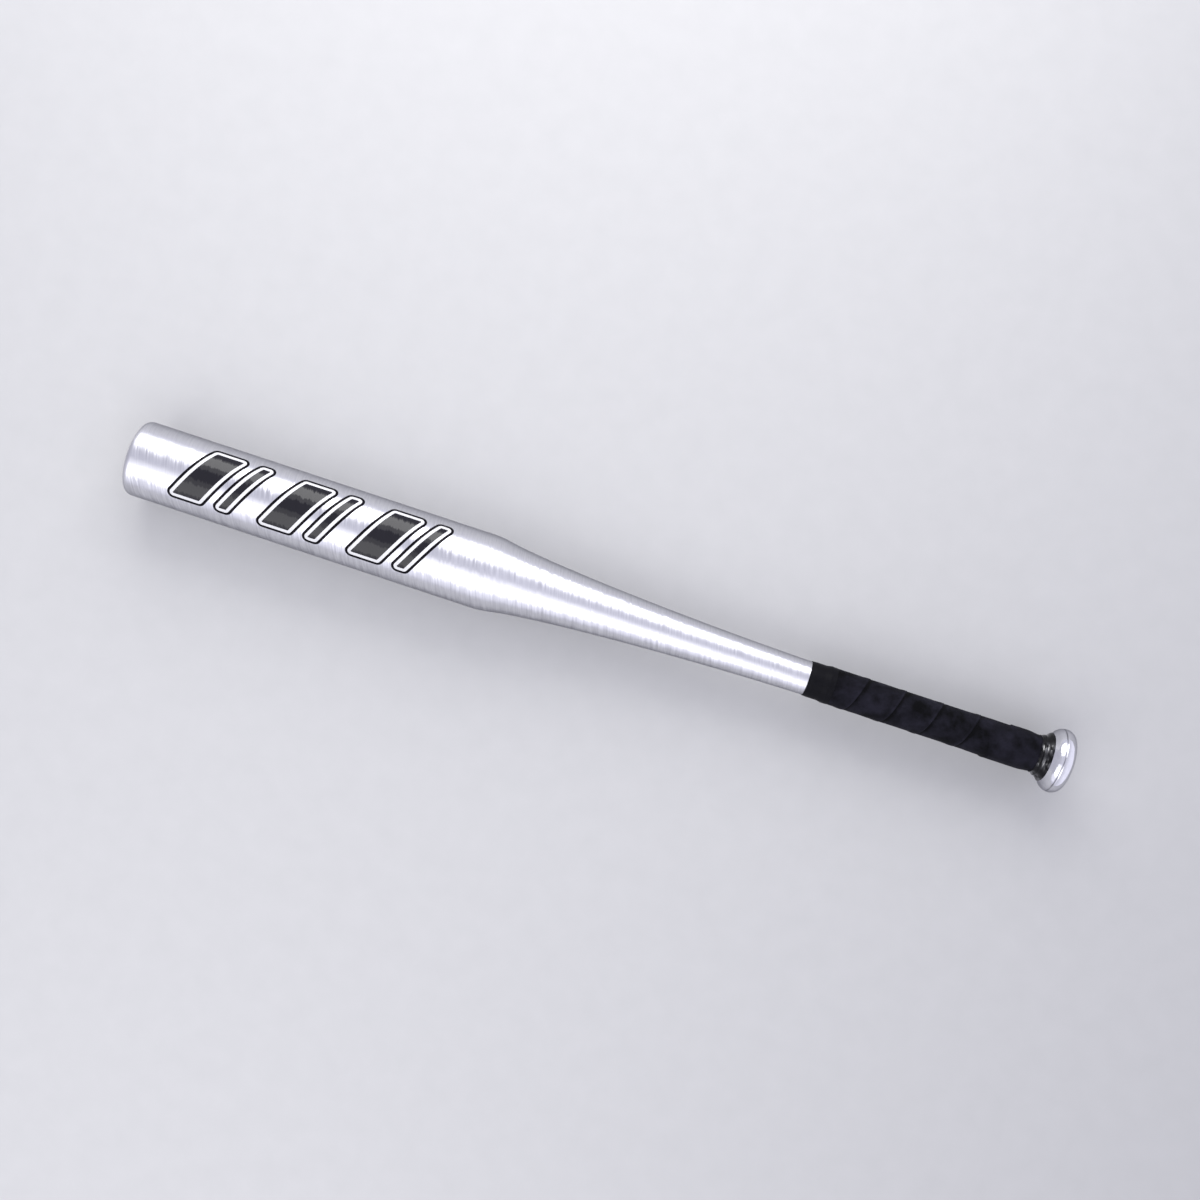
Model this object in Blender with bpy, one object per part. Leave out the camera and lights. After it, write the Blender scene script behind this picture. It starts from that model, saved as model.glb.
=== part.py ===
"""A short one-piece aluminium baseball bat, lying along X with its barrel towards -X and its knob towards +X.

Each piece is turned on a lathe line, standing on the knob: local Z is the height above the knob's back face.
One empty then lays the whole bat down, so that the barrel touches Z = 0 and the middle of its length is X = 0.
"""

import bpy
from math import cos, pi, radians, sin, sqrt, tan

# Driving sizes, in metres. Heights are measured from the knob's back face.
LENGTH = 0.635
BARREL_RADIUS = 0.02505
BARREL_FOOT = 0.3915
HANDLE_RADIUS = 0.0111
WALL = 0.0020
GAP = 0.0003

# Taper between the handle and the barrel: where it leaves the handle, and how hard each end pulls the curve.
TAPER_START = 0.1545
TAPER_START_PULL = 0.0820
TAPER_END_PULL = 0.0325
TAPER_END_SLOPE = 0.20
SHOULDER_HALF_LENGTH = 0.0055

# Barrel end, spun inwards and dished round its centre hole.
END_CORNER_RADIUS = 0.0043
END_WALL = 0.0044
END_INNER_CORNER = 0.0030
DISH_RADIUS = 0.0125
DISH_DEPTH = 0.0020
DISH_SLOPE_LENGTH = 0.0015
END_HOLE_RADIUS = 0.0063

# Rubber plug in that hole.
PLUG_FLANGE_RADIUS = 0.0098
PLUG_FLANGE_EDGE = 0.0009
PLUG_FLANGE_CROWN = 0.0004
PLUG_BARB_RADIUS = 0.0076
PLUG_BARB_LENGTH = 0.0060
PLUG_TIP_RADIUS = 0.0045

# Knob: a rounded back edge, a rounded front shoulder, a cone and a neck as wide as the handle's weld.
KNOB_RADIUS = 0.0212
KNOB_EQUATOR = 0.0064
KNOB_SHOULDER_RADIUS = 0.0080
KNOB_CONE_DEGREES = 50
NECK_RADIUS = 0.0114
NECK_FILLET = 0.0060
NECK_END = 0.0250
SPIGOT_END = 0.0480
SPIGOT_CHAMFER = 0.0012

# Weld in the groove between the knob's neck and the tube's end.
GROOVE_CHAMFER = 0.0016
GROOVE_HALF_FLOOR = 0.0008
WELD_CROWN = 0.0001

# Grip: one wound strip, doubled on its first turn, with a finishing band over each end.
GRIP_START = 0.0186
GRIP_END = 0.1630
GRIP_THICKNESS = 0.00095
FIRST_TURN_END = 0.0480
FIRST_TURN_RADIUS = 0.01315
FIRST_TURN_STEP = 0.0020
BAND_THICKNESS = 0.00035
BAND_STEP = 0.0010
TOP_BAND_START = 0.1586
TOP_BAND_END = 0.1760
RING_BAND_START = 0.0147
RING_BAND_END = 0.0214
SKIN_UNDER_RING = 0.0006
WELD_RELIEF_END = 0.0290
RELIEF_CHAMFER = 0.0010

# Flat facets round each turned piece.
SIDES = 32


def arc(centre, radius, start_degrees, end_degrees, steps):
    """Points on an arc in the profile plane. Zero degrees points away from the axis, ninety degrees up it."""
    points = []
    for step in range(steps + 1):
        angle = radians(start_degrees + (end_degrees - start_degrees) * step / steps)
        points.append((centre[0] + radius * cos(angle), centre[1] + radius * sin(angle)))
    return points


def bezier(start, start_pull, end_pull, end, steps):
    """Points on a cubic curve with the two given control points."""
    points = []
    for step in range(steps + 1):
        t = step / steps
        weights = ((1 - t) ** 3, 3 * (1 - t) ** 2 * t, 3 * (1 - t) * t * t, t**3)
        corners = (start, start_pull, end_pull, end)
        points.append(tuple(sum(w * c[axis] for w, c in zip(weights, corners)) for axis in (0, 1)))
    return points


def shoulder_curve(steps):
    """The short rounding where the taper meets the barrel, from the barrel down."""
    drop = TAPER_END_SLOPE * SHOULDER_HALF_LENGTH
    top = (BARREL_RADIUS, BARREL_FOOT + SHOULDER_HALF_LENGTH)
    bottom = (BARREL_RADIUS - drop, BARREL_FOOT - SHOULDER_HALF_LENGTH)
    corner = (BARREL_RADIUS, BARREL_FOOT)
    top_pull = tuple(t + (c - t) * 2 / 3 for t, c in zip(top, corner))
    bottom_pull = tuple(b + (c - b) * 2 / 3 for b, c in zip(bottom, corner))
    return bezier(top, top_pull, bottom_pull, bottom, steps)


def taper_curve(steps):
    """The long taper from the shoulder down to the handle."""
    top = shoulder_curve(1)[-1]
    top_pull = (top[0] - TAPER_END_SLOPE * TAPER_END_PULL, top[1] - TAPER_END_PULL)
    bottom = (HANDLE_RADIUS, TAPER_START)
    bottom_pull = (HANDLE_RADIUS, TAPER_START + TAPER_START_PULL)
    return bezier(top, top_pull, bottom_pull, bottom, steps)


def tube_side(shoulder_steps, taper_steps):
    """The tube's outer side from the barrel down to the handle, without its two ends."""
    return shoulder_curve(shoulder_steps) + taper_curve(taper_steps)[1:]


def inwards(points, distance):
    return [(radius - distance, height) for radius, height in points]


def tube_radius(height):
    """The tube's outer radius at a height on its handle or taper."""
    curve = taper_curve(60)
    for (upper, top), (lower, bottom) in zip(curve, curve[1:]):
        if height >= bottom:
            return lower + (upper - lower) * (height - bottom) / (top - bottom)
    return HANDLE_RADIUS


def tube_outline():
    corner_centre = (BARREL_RADIUS - END_CORNER_RADIUS, LENGTH - END_CORNER_RADIUS)
    end_inside = LENGTH - END_WALL
    inner_corner = (BARREL_RADIUS - WALL - END_INNER_CORNER, end_inside - END_INNER_CORNER)
    foot = NECK_END + GAP + GROOVE_HALF_FLOOR
    outside = [
        (END_HOLE_RADIUS, LENGTH - DISH_DEPTH),
        (DISH_RADIUS - DISH_SLOPE_LENGTH, LENGTH - DISH_DEPTH),
        (DISH_RADIUS, LENGTH),
    ]
    outside += arc(corner_centre, END_CORNER_RADIUS, 90, 0, 5)
    outside += tube_side(3, 14)
    outside += [
        (HANDLE_RADIUS, foot + GROOVE_CHAMFER),
        (HANDLE_RADIUS - GROOVE_CHAMFER, foot),
        (HANDLE_RADIUS - WALL, foot),
    ]
    inside = inwards(tube_side(1, 8), WALL)[::-1]
    inside += arc(inner_corner, END_INNER_CORNER, 0, 90, 3)
    inside += [(END_HOLE_RADIUS, end_inside)]
    return outside + inside


def plug_outline():
    flange_under = LENGTH - DISH_DEPTH + GAP
    flange_top = flange_under + PLUG_FLANGE_EDGE
    stem = END_HOLE_RADIUS - GAP
    barb_top = LENGTH - END_WALL - GAP
    crown = (0, flange_top + PLUG_FLANGE_CROWN)
    crown_pull = (PLUG_FLANGE_RADIUS / 2, crown[1])
    rim = (PLUG_FLANGE_RADIUS - PLUG_FLANGE_CROWN, flange_top)
    return [
        *bezier(crown, crown_pull, rim, rim, 3),
        (PLUG_FLANGE_RADIUS, flange_top - PLUG_FLANGE_CROWN),
        (PLUG_FLANGE_RADIUS, flange_under),
        (stem, flange_under),
        (stem, barb_top),
        (PLUG_BARB_RADIUS, barb_top),
        (PLUG_TIP_RADIUS, barb_top - PLUG_BARB_LENGTH),
        (0, barb_top - PLUG_BARB_LENGTH),
    ]


def knob_shoulder():
    """The rounding from the foot of the knob's cone down to its widest part."""
    centre = (KNOB_RADIUS - KNOB_SHOULDER_RADIUS, KNOB_EQUATOR)
    return arc(centre, KNOB_SHOULDER_RADIUS, KNOB_CONE_DEGREES, 0, 6)


def neck_foot():
    """The height where the fillet at the foot of the neck becomes the neck."""
    cone = radians(KNOB_CONE_DEGREES)
    cone_radius, cone_foot = knob_shoulder()[0]
    cone_top_radius = NECK_RADIUS + NECK_FILLET * (1 - cos(cone))
    return cone_foot + (cone_radius - cone_top_radius) / tan(cone) + NECK_FILLET * sin(cone)


def knob_skin(distance, height):
    """The radius, at a height, of a surface a distance outside the knob's cone, fillet and neck."""
    cone = radians(KNOB_CONE_DEGREES)
    below_foot = neck_foot() - height
    fillet = NECK_FILLET - distance
    if below_foot <= 0:
        return NECK_RADIUS + distance
    if below_foot <= fillet * sin(cone):
        return NECK_RADIUS + NECK_FILLET - sqrt(fillet**2 - below_foot**2)
    cone_top = NECK_RADIUS + NECK_FILLET - fillet * cos(cone)
    return cone_top + (below_foot - fillet * sin(cone)) * tan(cone)


def skin_points(distance, top, bottom, steps):
    """Points down the knob's front, a distance outside it."""
    heights = [top + (bottom - top) * step / steps for step in range(steps + 1)]
    return [(knob_skin(distance, height), height) for height in heights]


def knob_outline():
    spigot = HANDLE_RADIUS - WALL - GAP
    groove = NECK_END - GROOVE_HALF_FLOOR
    back_centre = (KNOB_RADIUS - KNOB_EQUATOR, KNOB_EQUATOR)
    top = [
        (0, SPIGOT_END),
        (spigot - SPIGOT_CHAMFER, SPIGOT_END),
        (spigot, SPIGOT_END - SPIGOT_CHAMFER),
        (spigot, groove),
        (NECK_RADIUS - GROOVE_CHAMFER, groove),
        (NECK_RADIUS, groove - GROOVE_CHAMFER),
    ]
    cone = radians(KNOB_CONE_DEGREES)
    front = skin_points(0, neck_foot(), neck_foot() - NECK_FILLET * sin(cone), 4)
    back = arc(back_centre, KNOB_EQUATOR, 0, -90, 6)[1:]
    return top + front + knob_shoulder() + back + [(0, 0)]


def weld_outline():
    """A ring that fills the groove, with a slightly crowned face."""
    root = HANDLE_RADIUS - WALL
    top = NECK_END + GROOVE_HALF_FLOOR
    bottom = NECK_END - GROOVE_HALF_FLOOR + GAP
    return [
        (root, top),
        (HANDLE_RADIUS - GROOVE_CHAMFER, top),
        (HANDLE_RADIUS, top + GROOVE_CHAMFER),
        (NECK_RADIUS + WELD_CROWN, (top + bottom) / 2),
        (NECK_RADIUS, bottom - GROOVE_CHAMFER),
        (NECK_RADIUS - GROOVE_CHAMFER, bottom),
        (root, bottom),
    ]


def grip_outline():
    inner = HANDLE_RADIUS + GAP
    outer = inner + GRIP_THICKNESS
    lap = outer - BAND_THICKNESS - GAP
    lap_end = TOP_BAND_START - GAP
    turn_start = RING_BAND_END + GAP
    relief = NECK_RADIUS + WELD_CROWN + GAP
    tube_top = tube_radius(GRIP_END) + GAP
    outside = [
        (tube_top + lap - inner, GRIP_END),
        (lap, lap_end),
        (outer, lap_end),
        (outer, FIRST_TURN_END),
        (FIRST_TURN_RADIUS, FIRST_TURN_END - FIRST_TURN_STEP),
        (FIRST_TURN_RADIUS, turn_start),
    ]
    outside += skin_points(GAP + SKIN_UNDER_RING, turn_start, GRIP_START, 3)
    inside = skin_points(GAP, neck_foot(), GRIP_START, 3)[::-1]
    inside += [
        (relief, neck_foot() + RELIEF_CHAMFER),
        (relief, WELD_RELIEF_END),
        (inner, WELD_RELIEF_END + RELIEF_CHAMFER),
        (inner, TAPER_START),
        (tube_top, GRIP_END),
    ]
    return outside + inside


def top_band_outline():
    """A band on the bare tube, stepping out over the last turn of the grip."""
    step = GRIP_END + GAP
    lap_outer = HANDLE_RADIUS + GAP + GRIP_THICKNESS
    lap_inner = lap_outer - BAND_THICKNESS
    top = tube_radius(TOP_BAND_END) + GAP
    foot = tube_radius(step) + GAP
    return [
        (top + BAND_THICKNESS, TOP_BAND_END),
        (foot + BAND_THICKNESS, step + BAND_STEP),
        (lap_outer, step),
        (lap_outer, TOP_BAND_START),
        (lap_inner, TOP_BAND_START),
        (lap_inner, step),
        (foot, step),
        (top, TOP_BAND_END),
    ]


def ring_band_outline():
    """A band on the knob's cone, stepping out over the first turn of the grip."""
    over_grip = 2 * GAP + SKIN_UNDER_RING
    step = GRIP_START - GAP
    outside = skin_points(over_grip + BAND_THICKNESS, RING_BAND_END, step, 3)
    outside += skin_points(GAP + BAND_THICKNESS, step - BAND_STEP, RING_BAND_START, 2)
    inside = skin_points(over_grip, RING_BAND_END, step, 3)
    inside += skin_points(GAP, step, RING_BAND_START, 3)
    return outside + inside[::-1]


def turned(name, outline, material, parent):
    """A body of revolution. The outline runs down its outer side and back up its inner side."""
    touches_axis = outline[0][0] == 0 and outline[-1][0] == 0
    count = len(outline)
    edges = [(index, index + 1) for index in range(count - 1)]
    if not touches_axis:
        edges.append((count - 1, 0))
    mesh = bpy.data.meshes.new(name)
    mesh.from_pydata([(radius, 0, height) for radius, height in outline], edges, [])
    mesh.materials.append(material)
    piece = bpy.data.objects.new(name, mesh)
    bpy.context.scene.collection.objects.link(piece)
    piece.parent = parent
    piece.rotation_euler = (0, 0, pi / SIDES)
    screw = piece.modifiers.new("Turn", "SCREW")
    screw.axis = "Z"
    screw.angle = 2 * pi
    screw.steps = SIDES
    screw.render_steps = SIDES
    screw.use_merge_vertices = True
    screw.merge_threshold = 0.00001
    screw.use_smooth_shade = True
    return piece


def finish(name, colour, metallic, roughness):
    material = bpy.data.materials.new(name)
    material.use_nodes = True
    shader = material.node_tree.nodes["Principled BSDF"]
    shader.inputs["Base Color"].default_value = (*colour, 1)
    shader.inputs["Metallic"].default_value = metallic
    shader.inputs["Roughness"].default_value = roughness
    return material


def clear_scene():
    for old in list(bpy.data.objects):
        bpy.data.objects.remove(old)


def bat_axis():
    """The empty that lays the standing bat down, on a flat between two edges of its turned sides."""
    empty = bpy.data.objects.new("bat_axis", None)
    bpy.context.scene.collection.objects.link(empty)
    empty.location = (LENGTH / 2, 0, BARREL_RADIUS * cos(pi / SIDES))
    empty.rotation_euler = (0, -pi / 2, 0)
    return empty


def build_bat():
    clear_scene()
    axis = bat_axis()
    brushed = finish("brushed_aluminium", (0.78, 0.78, 0.82), 1.0, 0.32)
    polished = finish("polished_aluminium", (0.80, 0.80, 0.84), 1.0, 0.15)
    weld = finish("weld_aluminium", (0.55, 0.55, 0.57), 1.0, 0.50)
    grip = finish("black_synthetic_leather", (0.012, 0.012, 0.016), 0.0, 0.62)
    tape = finish("black_finishing_tape", (0.010, 0.010, 0.012), 0.0, 0.22)
    rubber = finish("black_rubber", (0.020, 0.020, 0.020), 0.0, 0.70)
    turned("bat_tube", tube_outline(), brushed, axis)
    turned("barrel_end_plug", plug_outline(), rubber, axis)
    turned("knob", knob_outline(), polished, axis)
    turned("knob_weld", weld_outline(), weld, axis)
    turned("grip_wrap", grip_outline(), grip, axis)
    turned("grip_top_band", top_band_outline(), tape, axis)
    turned("knob_ring_band", ring_band_outline(), tape, axis)


build_bat()
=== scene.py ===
"""Looks for a short aluminium baseball bat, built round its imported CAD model.

The bat lies along X with its knob towards +X. A place on it is given as a radius from the bat's
axis, a height above the knob's back face and an angle round the axis, which is 0 at the top and
grows towards +Y.
"""

from math import cos, pi, radians, sin, sqrt, tan

import bmesh
import bpy
import numpy as np
from mathutils import Matrix, Vector, noise


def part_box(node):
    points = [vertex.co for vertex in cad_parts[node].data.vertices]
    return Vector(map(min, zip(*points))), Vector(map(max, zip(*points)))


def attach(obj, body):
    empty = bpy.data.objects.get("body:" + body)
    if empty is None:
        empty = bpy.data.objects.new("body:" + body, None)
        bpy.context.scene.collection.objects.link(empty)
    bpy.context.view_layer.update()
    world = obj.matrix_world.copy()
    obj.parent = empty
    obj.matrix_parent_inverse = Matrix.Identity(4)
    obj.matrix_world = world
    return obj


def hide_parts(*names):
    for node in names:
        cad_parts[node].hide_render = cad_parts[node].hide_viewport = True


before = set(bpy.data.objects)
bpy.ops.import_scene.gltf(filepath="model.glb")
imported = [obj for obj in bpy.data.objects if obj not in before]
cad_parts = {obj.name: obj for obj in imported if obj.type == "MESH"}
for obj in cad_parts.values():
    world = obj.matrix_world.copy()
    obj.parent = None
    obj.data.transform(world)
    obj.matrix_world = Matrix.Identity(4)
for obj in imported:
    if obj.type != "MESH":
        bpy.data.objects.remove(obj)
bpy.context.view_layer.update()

MM = 0.001

# The bat's own lines, from the frame.
KNOB_FACE_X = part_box("knob")[1].x
LENGTH = KNOB_FACE_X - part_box("bat_tube")[0].x
TUBE_LOW, TUBE_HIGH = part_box("bat_tube")
AXIS_Z = (TUBE_LOW.z + TUBE_HIGH.z) / 2

# Tube.
BARREL_RADIUS = 25.05 * MM
BARREL_FOOT = 391.5 * MM
HANDLE_RADIUS = 11.1 * MM
WALL = 2.0 * MM
TAPER_START = 154.5 * MM
TAPER_START_PULL = 82 * MM
TAPER_END_PULL = 32.5 * MM
TAPER_END_SLOPE = 0.20
SHOULDER_HALF_LENGTH = 5.5 * MM
END_CORNER_RADIUS = 4.3 * MM
END_WALL = 4.4 * MM
END_INNER_CORNER = 3 * MM
DISH_RADIUS = 12.5 * MM
DISH_FLOOR_RADIUS = 11.0 * MM
DISH_SLOPE = 0.8 * MM
DISH_DEPTH = 2.0 * MM
END_RING_PITCH = 1.15 * MM
END_RING_DEPTH = 0.018 * MM
END_HOLE_RADIUS = 6.3 * MM
TUBE_FOOT = 26.1 * MM

# Plug. Its face is given from the middle out, in millimetres, as a radius and a drop below the
# crown: a dimple, a crown that falls a little, and a ring groove.
PLUG_FACE = (
    (0, 0.45), (1.12, 0.45), (1.60, 0.30), (1.75, 0.05), (2.10, 0),
    (5.60, 0.06), (5.80, 0.22), (6.20, 0.22), (6.40, 0.08), (8.20, 0.14),
)
PLUG_FLANGE_RADIUS = 9.8 * MM
PLUG_CROWN_HEIGHT = 1.3 * MM
PLUG_EDGE_RADIUS = 0.8 * MM
PLUG_BARB_RADIUS = 7.6 * MM
PLUG_BARB_LIP = 0.6 * MM
PLUG_TIP_RADIUS = 4.5 * MM
PLUG_TIP_DEPTH = 6 * MM

# Knob.
KNOB_RADIUS = 21.2 * MM
KNOB_EQUATOR = 6.4 * MM
KNOB_SHOULDER_RADIUS = 8.0 * MM
KNOB_CONE_DEGREES = 50
KNOB_CONE = radians(KNOB_CONE_DEGREES)
NECK_RADIUS = 11.4 * MM
NECK_FILLET = 6.0 * MM
NECK_END = 24.2 * MM
SPIGOT_RADIUS = 8.8 * MM
SPIGOT_END = 48.0 * MM
SPIGOT_CHAMFER = 1.2 * MM
KNOB_DIMPLE_RADIUS = 1.5 * MM
KNOB_DIMPLE_DEPTH = 0.95 * MM
# The thin turned line round its widest part.
KNOB_LINE_HEIGHT = 8.3 * MM
KNOB_LINE_HALF_WIDTH = 0.40 * MM
KNOB_LINE_WANDER = 0.25 * MM
KNOB_LINE_DEPTH = 0.24 * MM

# Weld between the tube's foot and the neck's end, which are both cut back for it.
WELD_CUT = 1.6 * MM
WELD_TOP = NECK_END + 1.4 * MM
WELD_BOTTOM = NECK_END - 0.2 * MM
WELD_OVERLAP = 1.5 * MM
WELD_CROWN_RADIUS = NECK_RADIUS + 0.1 * MM
WELD_CROWN_FALL = 0.35 * MM
WELD_RIPPLES = 40
WELD_RIPPLE_DEPTH = 0.09 * MM
WELD_RIPPLE_LEAN = 1.8 / MM

# Grip and its two finishing bands.
GRIP_START = 18.6 * MM
GRIP_END = 163.0 * MM
GRIP_RADIUS = 12.13 * MM
GRIP_SWELL = 0.30 * MM
GRIP_SWELL_RANGE = (57 * MM, 72 * MM)
GRIP_FOOT_DRAW = 0.75 * MM
GRIP_FOOT_RANGE = (22.5 * MM, 31 * MM)
FIRST_TURN_EXTRA = 0.66 * MM
FIRST_TURN_RANGE = (47.7 * MM, 48.6 * MM)
LAP_HEIGHT = 0.26 * MM
CREASE_DEPTH = 0.14 * MM
# The radius at which its patterns are laid out, and a pleat's size round and along the bat.
PATTERN_RADIUS = 12 * MM
PLEAT_SIZE = (1.7 * MM, 7 * MM)
UNDER_BAND_RADIUS = 11.68 * MM
WRAP_PITCH = 25.0 * MM
# A height at which the strip's free edge crosses the top of the bat.
WRAP_SEAM = 42.6 * MM
TOP_BAND_START = 158.6 * MM
TOP_BAND_END = 176.0 * MM
TOP_BAND_RADIUS = 12.20 * MM
TOP_BAND_INNER_RADIUS = 11.75 * MM
RING_BAND_START = 14.7 * MM
RING_BAND_END = 21.4 * MM

# Turns of tape, in millimetres: middle height, sway of that height round the bat, the angle in
# radians that the sway starts from, width and thickness.
TOP_TURNS = ((166.6, 0.5, -0.6, 14.2, 0.11), (167.9, 0.8, 1.9, 11.5, 0.10))
RING_TURNS = ((17.2, 0.7, 0.4, 3.6, 0.16), (18.6, 0.9, -2.3, 3.0, 0.15))
# Rounded ridges of gathered tape, given the same way, but with half their width.
RING_RIDGES = ((18.9, 0.4, -0.8, 0.80, 0.30), (16.6, 0.5, 1.3, 0.75, 0.34))
# Where the ring band has polished patches, in degrees round the bat, and how far each reaches.
POLISHED_PLACES = (-140, -75, -16, 24, 95, 170)
POLISHED_REACH = 13


# ---------------------------------------------------------------- profiles

def arc(centre, radius, start_degrees, end_degrees, steps):
    """Points on an arc of the profile. Zero degrees points away from the axis, ninety up it."""
    angles = np.radians(np.linspace(start_degrees, end_degrees, steps + 1))
    return [(centre[0] + radius * cos(a), centre[1] + radius * sin(a)) for a in angles]


def bezier(start, start_pull, end_pull, end, steps):
    points = []
    for t in np.linspace(0, 1, steps + 1):
        weights = ((1 - t) ** 3, 3 * (1 - t) ** 2 * t, 3 * (1 - t) * t * t, t**3)
        corners = (start, start_pull, end_pull, end)
        points.append(tuple(sum(w * c[axis] for w, c in zip(weights, corners)) for axis in (0, 1)))
    return points


def straight(start, end, steps):
    """Points from start to end, without start."""
    return [tuple(s + (e - s) * k / steps for s, e in zip(start, end)) for k in range(1, steps + 1)]


def shoulder_curve(steps):
    """The short rounding where the taper meets the barrel, from the barrel down."""
    drop = TAPER_END_SLOPE * SHOULDER_HALF_LENGTH
    top = (BARREL_RADIUS, BARREL_FOOT + SHOULDER_HALF_LENGTH)
    bottom = (BARREL_RADIUS - drop, BARREL_FOOT - SHOULDER_HALF_LENGTH)
    corner = (BARREL_RADIUS, BARREL_FOOT)
    pulls = [
        tuple(end + (c - end) * 2 / 3 for end, c in zip(point, corner)) for point in (top, bottom)
    ]
    return bezier(top, *pulls, bottom, steps)


def taper_curve(steps):
    top = shoulder_curve(1)[-1]
    top_pull = (top[0] - TAPER_END_SLOPE * TAPER_END_PULL, top[1] - TAPER_END_PULL)
    bottom_pull = (HANDLE_RADIUS, TAPER_START + TAPER_START_PULL)
    return bezier(top, top_pull, bottom_pull, (HANDLE_RADIUS, TAPER_START), steps)


TAPER = np.array(taper_curve(200))


def tube_radius(height):
    """The bare tube's outer radius on its handle and taper."""
    return float(np.interp(height, TAPER[::-1, 1], TAPER[::-1, 0]))


def knob_shoulder(steps):
    """The knob's rounding from its cone out to its widest part."""
    centre = (KNOB_RADIUS - KNOB_SHOULDER_RADIUS, KNOB_EQUATOR)
    return arc(centre, KNOB_SHOULDER_RADIUS, KNOB_CONE_DEGREES, 0, steps)


CONE_TOP_RADIUS, CONE_TOP_HEIGHT = knob_shoulder(1)[0]
NECK_FOOT = (
    CONE_TOP_HEIGHT
    + (CONE_TOP_RADIUS - NECK_RADIUS - NECK_FILLET * (1 - cos(KNOB_CONE))) / tan(KNOB_CONE)
    + NECK_FILLET * sin(KNOB_CONE)
)


def knob_skin(distance, height):
    """The radius, at a height, of a surface a distance outside the knob's cone, fillet and neck."""
    below = NECK_FOOT - height
    fillet = NECK_FILLET - distance
    if below <= 0:
        return NECK_RADIUS + distance
    if below <= fillet * sin(KNOB_CONE):
        return NECK_RADIUS + NECK_FILLET - sqrt(fillet**2 - below**2)
    foot_radius = NECK_RADIUS + NECK_FILLET - fillet * cos(KNOB_CONE)
    return foot_radius + (below - fillet * sin(KNOB_CONE)) * tan(KNOB_CONE)


def knob_skins(distance, heights):
    return np.array([knob_skin(distance, h) for h in heights.ravel()]).reshape(heights.shape)


# ---------------------------------------------------------------- mesh building

def place(radius, angle, height):
    return KNOB_FACE_X - height, radius * np.sin(angle), AXIS_Z + radius * np.cos(angle)


def places(radius, angle, height):
    """A grid of places from grids of radius, angle and height."""
    return np.stack(place(radius, angle, height), axis=2)


def places_of(obj):
    """A piece's points, and the radius, angle and height of each."""
    points = np.array([v.co for v in obj.data.vertices])
    out, up = points[:, 1], points[:, 2] - AXIS_Z
    return points, np.hypot(out, up), np.arctan2(out, up), KNOB_FACE_X - points[:, 0]


def angles_round(sides):
    return np.arange(sides) * 2 * pi / sides


def in_scene(name, data):
    obj = bpy.data.objects.new(name, data)
    bpy.context.scene.collection.objects.link(obj)
    return obj


def smooth_piece(name, mesh, crease_degrees):
    """A smooth-shaded object from a mesh, with the edges that bend more than that kept sharp."""
    mesh.shade_smooth()
    mesh.set_sharp_from_angle(angle=radians(crease_degrees))
    return in_scene(name, mesh)


def face_out(work):
    if work.calc_volume(signed=True) < 0:
        bmesh.ops.reverse_faces(work, faces=work.faces)


def cut(work, point, normal, keep_beyond=True):
    """Cuts a mesh with a plane. What lies beyond, on the normal's side, is kept or dropped."""
    everything = work.verts[:] + work.edges[:] + work.faces[:]
    bmesh.ops.bisect_plane(work, geom=everything, dist=1e-7, plane_co=point, plane_no=normal,
                           clear_outer=not keep_beyond)


def turned_faces(rows, poles, sides):
    """A turned body's faces. Its rows of points come first and then the tips of its poles, which
    are the first or last rows of the outline if those lie on the axis."""
    last = len(rows)
    faces = []
    for row in range(last - 1 if poles else last):
        above = row * sides
        below = (row + 1) % last * sides
        for side in range(sides):
            after = (side + 1) % sides
            faces.append((above + side, below + side, below + after, above + after))
    for count, pole in enumerate(poles):
        tip = last * sides + count
        rim = 0 if pole == 0 else (last - 1) * sides
        for side in range(sides):
            corners = (rim + side, rim + (side + 1) % sides, tip)
            faces.append(corners if pole == 0 else corners[::-1])
    return faces


def turned(name, outline, sides, shift=None):
    """A body of revolution from an outline of (radius, height), which is closed, or starts and ends
    on the axis. shift(radius, height, angle) returns how far each point moves outwards."""
    outline = np.array(outline)
    poles = [row for row in (0, len(outline) - 1) if outline[row, 0] == 0]
    rows = [row for row in range(len(outline)) if row not in poles]
    radius = np.repeat(outline[rows, 0][:, None], sides, axis=1)
    height = np.repeat(outline[rows, 1][:, None], sides, axis=1)
    angle = np.repeat(angles_round(sides)[None, :], len(rows), axis=0)
    if shift is not None:
        radius = radius + shift(radius, height, angle)
    points = [tuple(p) for p in places(radius, angle, height).reshape(-1, 3)]
    points += [tuple(place(0, 0, outline[pole, 1])) for pole in poles]
    mesh = bpy.data.meshes.new(name)
    mesh.from_pydata(points, [], turned_faces(rows, poles, sides))
    work = bmesh.new()
    work.from_mesh(mesh)
    face_out(work)
    work.to_mesh(mesh)
    work.free()
    return smooth_piece(name, mesh, 35)


def wobble(points, scale, seed):
    """Smooth noise between about -1 and 1 at points in metres, with features about scale across."""
    offset = Vector((seed * 17.3, seed * 5.1, seed * 9.7))
    flat = points.reshape(-1, 3) / scale
    values = [noise.noise(Vector(p) + offset) for p in flat]
    return np.array(values).reshape(points.shape[:-1])


def smooth(value, low, high):
    """0 below low, 1 above high, and a soft rise in between."""
    t = np.clip((value - low) / (high - low), 0, 1)
    return t * t * (3 - 2 * t)


def bump_at(value, middle, half_width):
    """1 at the middle, with a soft fall to 0 on both sides."""
    return np.exp(-(((value - middle) / half_width) ** 2))


def mark(mesh, name, values):
    """Keeps a number for each point of the mesh, for a material to read."""
    attribute = mesh.attributes.new(name, "FLOAT", "POINT")
    attribute.data.foreach_set("value", values.astype(np.float32))


def ride_as(obj, node, slot, *materials):
    """obj stands for a CAD node, which it hides, and wears these materials. slot is not used."""
    for material in materials:
        obj.data.materials.append(material)
    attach(obj, "root")
    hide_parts(node)


# ---------------------------------------------------------------- materials

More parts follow.
